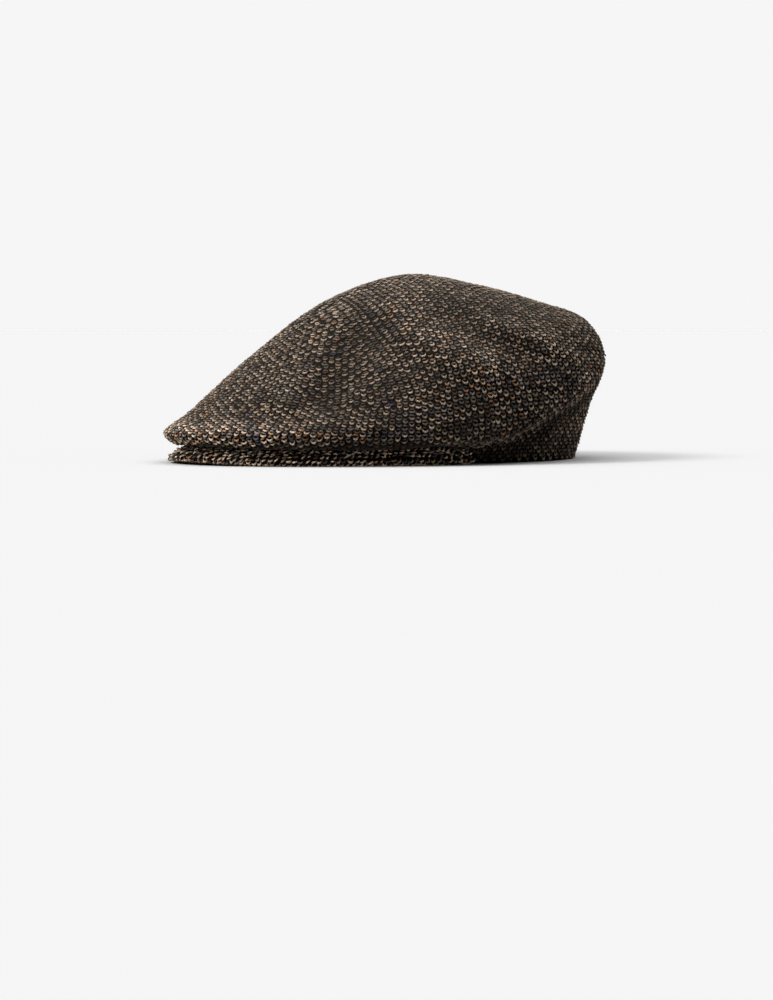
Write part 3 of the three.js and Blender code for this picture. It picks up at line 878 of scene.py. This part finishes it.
# A factor on each spot's colour: painted shade near shadeLines and in the hollow above the peak, painted
# light where a line's amount is negative
def shadeOn(spots):
    paintedShade, paintedLight = np.zeros(len(spots)), np.zeros(len(spots))
    for line, (wide, darker) in linesOn(shadeLines):
        near = np.clip(1.3 - nearness(spots, line) / wide, 0, 1)
        paintedShade, paintedLight = np.maximum(paintedShade, darker * near), np.maximum(paintedLight, -darker * near)
    angles = np.degrees(np.arctan2(spots[:, 0], -spots[:, 1] - cap["axisForward"]))
    seam, _ = lowerEdge(angles)
    turned = np.minimum(np.abs(angles) / hollow["sideFrom"], 1)
    tall = hollow["tallFront"] + (hollow["tallSide"] - hollow["tallFront"]) * turned
    under = np.clip(1.3 - (spots[:, 2] - seam[:, 1]) / tall, 0, 1)
    under = under * np.clip((hollow["gone"] - np.abs(angles)) / hollow["fade"], 0, 1)
    paintedShade = np.maximum(paintedShade, hollow["paintedShade"] * under)
    return (1 - paintedShade) * (1 + paintedLight)


rng = np.random.default_rng(27)
onTop = np.clip((loopNormals[:, 2] - knit["topFrom"]) / knit["topSpan"], 0, 1)
loopSize = np.stack([np.clip(loopWide, 0.6, 1.25), np.clip(loopTall, 0.7, 1.35),
                     knit["flat"] * (1 - knit["topFlatter"] * onTop)], -1)
# Painted light and shade per loop, carried to the yarn's colour: first painted shade in the folds' dents and
# painted light on their ridges
loopPaintedShading = np.clip(1 - foldDepth(loopSpots) * knit["foldPaintedShade"], 0.62, 1.3)
# Then the painted shade and light of shadeOn, and painted light on the top where the cloth faces up
loopPaintedShading = loopPaintedShading * shadeOn(loopSpots) * (1 + knit["topPaintedLight"] * onTop)
loopPaintedShading[len(lattice[0]):] *= knit["ridgeShade"]
# Painted sheen on the loops that face up
loopPaintedSheen = knit["topPaintedSheen"] * paintedSheenOn(loopNormals)
loopGiven = {"check": checkOn(loopSpots, rng), "paintedShading": loopPaintedShading, "paintedSheen": loopPaintedSheen}
strayed = loopSpots + rng.normal(0, knit["stray"], loopSpots.shape) * (1, 1, 0.6)
crownKnit = layShape("crown_knit", yarnLoop, loopMaterial, strayed - loopNormals * knit["sink"], loopNormals,
                     loopUps, loopSize, loopGiven, lean=0.13, uneven=0.15, seed=3)
between = loopSpots + loopUps * (loopTall * knit["rowGap"] * knit["backUp"])[:, None]
between = between - loopNormals * knit["backSink"] + rng.normal(0, knit["stray"], loopSpots.shape)
crownBack = layShape("crown_back_yarn", backLoop, backLoopMaterial, between, loopNormals, loopUps, loopSize,
                     {**loopGiven, "check": 0.5 * loopGiven["check"]}, lean=0.2, uneven=0.25, seed=5)
print("crown made")

# The peak: stiffened board in the same cloth, its strip in front of the crown knitted, its underside flat
peakDetail = {"across": 30, "steps": 240, "edge": 10, "sunk": 0.35, "sunkFrom": 0.3, "edgeRound": 6.6}


def peakCloth():
    peak = peakSections(peakDetail["steps"])
    shares = np.linspace(0, 1, peakDetail["across"])
    ring, across = [], []
    for share in shares:
        sunk = peakDetail["sunk"] if share > peakDetail["sunkFrom"] else 0.0
        ring.append(peak.at(peak.length * share, 1, -sunk))
        across.append(peak.length * (share - 1))
    for turn in np.linspace(80, -80, peakDetail["edge"]):
        ring.append(peak.edge(turn, -peakDetail["sunk"]))
        across.append(0 * peak.length + peakDetail["edgeRound"] * (90 - turn) / 180)
    for share in shares[::-1]:
        ring.append(peak.at(peak.length * share, -1))
        across.append(peakDetail["edgeRound"] + peak.length * (1 - share))
    size = len(ring)
    spots = np.stack([place(peak.angles, section) for section in ring], 1)
    run = lineLength(place(peak.angles, peak.edge(0)))
    uv = np.stack([np.repeat(run[:, None], size, 1), np.stack(across, 1)], -1)
    faces = [f[::-1] for f in quads(peakDetail["steps"], size, closedColumns=True)]
    end = (peakDetail["steps"] - 1) * size
    for j in range(size // 2 - 1):
        k = size - 1 - j
        faces += [(j, k, k - 1, j + 1), (end + j, end + j + 1, end + k - 1, end + k)]
    made = meshObject("peak_cloth", pressed(rested(spots.reshape(-1, 3))), faces,
                      (groundTweed, undersideTweed), uv.reshape(-1, 2))
    for polygon in made.data.polygons:
        spot = min(v % size for v in polygon.vertices)
        polygon.material_index = 1 if spot >= peakDetail["across"] + peakDetail["edge"] - 3 else 0
    return made


peakClothPiece = peakCloth()

# Rows of the strip by their distance from the crown and then by their turn round the edge, and their stitches
strip = {
    "rows": (1.2, 3.6, 6.0, 8.4), "turns": (62.0, 10.0), "steps": 700, "gap": 3.5, "size": (0.88, 0.82, 0.85),
    "slant": 0.75, "slantLess": 0.3, "down": 0.85, "firstShade": 0.45, "stray": 0.3, "sink": 0.35,
}


def peakLattice():
    peak = peakSections(strip["steps"])
    angles = peak.angles
    rows = [("run", cap["peakShown"] - row) for row in strip["rows"]]
    rows += [("edge", turn) for turn in strip["turns"]]
    found = []
    for number, (kind, value) in enumerate(rows):
        if kind == "run":
            run, face = peak.length - value, peak.normal
            here, away = peak.at(run, 1), peak.at(run + 0.5, 1)
        else:
            here, away, face = peak.edge(value), peak.edge(value - 8), peak.face(value)
        line = place(angles, here)
        down, out = unit(place(angles, away) - line), unit(place(angles, here + face) - line)
        length = lineLength(line)
        count = int(length[-1] / strip["gap"])
        at = (np.arange(count) + 0.25 + 0.5 * (number % 2)) / count * length[-1]
        line, down, out = (alongLine(values, length, at) for values in (line, down, out))
        slant = unit(np.cross(down, out)) * (strip["slant"] - strip["slantLess"] * (number % 3))
        # The first row, next to the crown, is painted darker: painted shadow under the crown's roll
        found.append((line, unit(out), unit(slant - down * strip["down"]), np.tile(strip["size"], (count, 1)),
                      np.full(count, strip["firstShade"] if number == 0 else 1.0)))
    return [np.concatenate(parts) for parts in zip(*found)]


peakSpots, peakNormals, peakUps, peakSizes, peakPaintedShading = peakLattice()
peakSpots = peakSpots + rng.normal(0, strip["stray"], peakSpots.shape) - peakNormals * strip["sink"]
peakKnit = layShape("peak_knit", yarnLoop, peakLoopMaterial, peakSpots, peakNormals, peakUps, peakSizes,
                    {"paintedShading": peakPaintedShading}, lean=0.4, uneven=0.25, seed=11)

# A dotted row of stitches along the lower corner of the peak's edge
stitches = {"gap": 2.8, "turn": -22.0, "proud": -0.05}


def edgeStitches():
    peak = peakSections(strip["steps"])
    angles = peak.angles
    here = peak.edge(stitches["turn"], stitches["proud"])
    line = place(angles, here)
    out = unit(place(angles, here + peak.face(stitches["turn"])) - line)
    length = lineLength(line)
    at = (np.arange(int(length[-1] / stitches["gap"])) + 0.5) * stitches["gap"]
    onward = alongLine(line, length, at + 0.5) - alongLine(line, length, at - 0.5)
    normals = unit(alongLine(out, length, at))
    return alongLine(line, length, at), normals, unit(np.cross(normals, onward))


stitchSpots, stitchNormals, stitchUps = edgeStitches()
stitchPath = [(-0.95, 0.1, -0.5), (-0.4, 0.0, 0.05), (0.4, 0.0, 0.05), (0.95, 0.1, -0.5)]
stitchShape = yarnShape("edgeStitch", stitchPath, [0.22, 0.5, 0.5, 0.22])
peakStitches = layShape("peak_edge_stitches", stitchShape, stitchMaterial, stitchSpots, stitchNormals,
                        stitchUps, np.ones((len(stitchSpots), 3)), {}, lean=0.22, uneven=0.2, seed=17)
print("peak made")


# The sweatband: ribbed black ribbon
def sweatband():
    angles = np.linspace(-180, 180, 361)[:-1]
    t = np.clip((np.abs(angles) - cap["peakEndAngle"] / 2) / (cap["peakEndAngle"] / 2), 0, 1)
    onPeak = 1 - t * t * (3 - 2 * t)
    arch = cap["peakArch"] * column(peakRows, peakColumns, "root", angles)
    root = cap["peakEndHigh"] + arch - cap["peakThick"] / 2
    low = cap["hemDip"] * crownColumn("hem", angles) + cap["bandAboveHem"]
    low = low * (1 - onPeak) + root * onPeak
    up = np.linspace(0.15, 0.9, 8)
    profile = [(0.0, 0.0), (0.0, 0.06), *((0.0, s) for s in up), (0.0, 0.97), (0.3, 1.0), (0.9, 1.0),
               (1.2, 0.97), *((1.2, s) for s in up[::-1]), (1.2, 0.03), (0.9, 0.0), (0.3, 0.0)]
    ring = []
    for out, high in profile:
        section = headRadius(angles, out - cap["bandLeanIn"] * high), low + cap["bandTall"] * high
        ring.append(place(angles, np.stack(section, -1)))
    spots = np.stack(ring, 1)
    run = lineLength(spots[:, 0])
    upBand = np.tile([high * cap["bandTall"] for _, high in profile], (len(angles), 1))
    uv = np.stack([np.repeat(run[:, None], len(profile), 1), upBand], -1)
    faces = [f[::-1] for f in quads(len(angles), len(profile), closedRows=True, closedColumns=True)]
    return meshObject("sweatband_ribbon", rested(spots.reshape(-1, 3)), faces, (ribbonMaterial,),
                      uv.reshape(-1, 2))


ribbonLook = {"ribGap": 1.1, "ribDeep": 0.0003, "stitchHigh": 27.5, "stitchLong": 2.6, "hairs": 3000.0}
ribbonMaterial, tree, shader = newMaterial("ribbon", 0.62, 0.08, specular=0.2)
coords = newNode(tree, "ShaderNodeTexCoord").outputs
onBand = separate(tree, coords["UV"])
ribs = calc(tree, "SINE", times(tree, onBand[0], 2 * math.pi / ribbonLook["ribGap"]))
hairs = hairsOn(tree, coords["Object"], ribbonLook["hairs"])
fromSeam = calc(tree, "ABSOLUTE", calc(tree, "SUBTRACT", onBand[1], ribbonLook["stitchHigh"]))
dash = calc(tree, "FRACT", calc(tree, "DIVIDE", onBand[0], ribbonLook["stitchLong"]))
seam = times(tree, remap(tree, fromSeam, 0.2, 0.5, 1.0, 0.0), remap(tree, dash, 0.62, 0.72, 1.0, 0.0))
# Painted shade in the grooves between the ribs
ribShade = times(tree, remap(tree, ribs, -1.0, 1.0, 0.35, 1.0), hairs["Shade"])
colour = mixColour(tree, seam, darken(tree, rgba("ribbonLight"), ribShade), rgba("ribbonStitch"))
height = timesPlus(tree, seam, 0.8, timesPlus(tree, hairs["Height"], 0.3, ribs))
dress(tree, shader, colour, height, 0.7, ribbonLook["ribDeep"])
band = sweatband()
print("sweatband made")

for shape in (yarnLoop, backLoop, stitchShape):
    bpy.data.objects.remove(shape)

for node, slotName, pieces in (
    ("crown", "crown_tweed", (crownCloth, crownKnit, crownBack)),
    ("peak", "peak_tweed", (peakClothPiece, peakKnit, peakStitches)),
    ("sweatband", "band_ribbon", (band,)),
):
    for piece in pieces:
        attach(piece, "root")
        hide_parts(node)

# Wide pale floor that meets the studio's walls without a visible line
floorSizes = {"inner": 0.3, "radius": 40.0, "rings": 9, "turns": 72}


def floorPiece():
    rings, turns = floorSizes["rings"], floorSizes["turns"]
    turn = np.arange(turns) * 2 * math.pi / turns
    circle = np.stack([np.cos(turn), np.sin(turn), 0 * turn], -1)
    radii = np.geomspace(floorSizes["inner"], floorSizes["radius"], rings)
    faces = [(0, 1 + i, 1 + (i + 1) % turns) for i in range(turns)]
    faces += quads(rings, turns, closedColumns=True, first=1)
    return meshObject("floor", np.concatenate([[(0, 0, 0)], *(circle * r for r in radii)]), faces, (paper,))


paper, tree, shader = newMaterial("paper", 0.95, specular=0.0)
shader.inputs["Base Color"].default_value = rgba("floor")
floor = floorPiece()

# Soft studio light: bright ceiling, dimmer walls, a pale horizon and one soft lamp from the upper front
studio = {
    "horizon": 0.92, "horizonTop": 0.16, "walls": 0.28, "wallsFrom": 0.34, "ceiling": 3.75,
    "ceilingFrom": 0.5, "lampPower": 2.6, "lampWidth": 24.0, "lampFrom": (-0.2, -0.84, 0.9),
}
bpy.context.scene.view_settings.view_transform = "Standard"
world = bpy.data.worlds.new("studio")
bpy.context.scene.world = world
world.use_nodes = True
tree = world.node_tree
upwards = separate(tree, newNode(tree, "ShaderNodeTexCoord").outputs["Generated"])[2]
walls = remap(tree, upwards, studio["horizonTop"], studio["wallsFrom"], studio["horizon"], studio["walls"])
ceiling = remap(tree, upwards, studio["ceilingFrom"], 1.0, 0.0, studio["ceiling"] - studio["walls"])
feed(tree, tree.nodes["Background"], {0: (1, 1, 1, 1), 1: calc(tree, "ADD", walls, ceiling)})

lamp = newObject("lamp", bpy.data.lights.new("lamp", "SUN"))
lamp.data.energy, lamp.data.angle = studio["lampPower"], math.radians(studio["lampWidth"])
lamp.rotation_mode = "QUATERNION"
lamp.rotation_quaternion = (-Vector(studio["lampFrom"])).to_track_quat("-Z", "Y")

# Camera: the photograph's direction, lifted just above the floor
shot = {
    "azimuth": 57.8, "elevation": 3.0, "distance": 2.0, "lens": 121.0, "sensor": 36.0,
    "aim": (0.0, 0.0215, 0.0052), "aimRight": 26.0, "aimUp": 50.0, "pixels": 1000.0,
}
camera = newObject("camera", bpy.data.cameras.new("camera"))
bpy.context.scene.camera = camera
camera.data.lens, camera.data.sensor_width = shot["lens"], shot["sensor"]
azimuth, elevation = math.radians(shot["azimuth"]), math.radians(shot["elevation"])
level = math.cos(elevation)
back = Vector((math.sin(azimuth) * level, -math.cos(azimuth) * level, math.sin(elevation)))
aimTurn = (-back).to_track_quat("-Z", "Y")
offset = aimTurn @ Vector((shot["aimRight"], shot["aimUp"], 0.0))
perPixel = shot["distance"] * shot["sensor"] / shot["lens"] / shot["pixels"]
camera.location = Vector(shot["aim"]) + back * shot["distance"] - offset * perPixel
camera.rotation_mode = "QUATERNION"
camera.rotation_quaternion = aimTurn
camera.data.clip_start, camera.data.clip_end = 0.05, 100.0
print("camera and lights set")
print("camera and lights set")
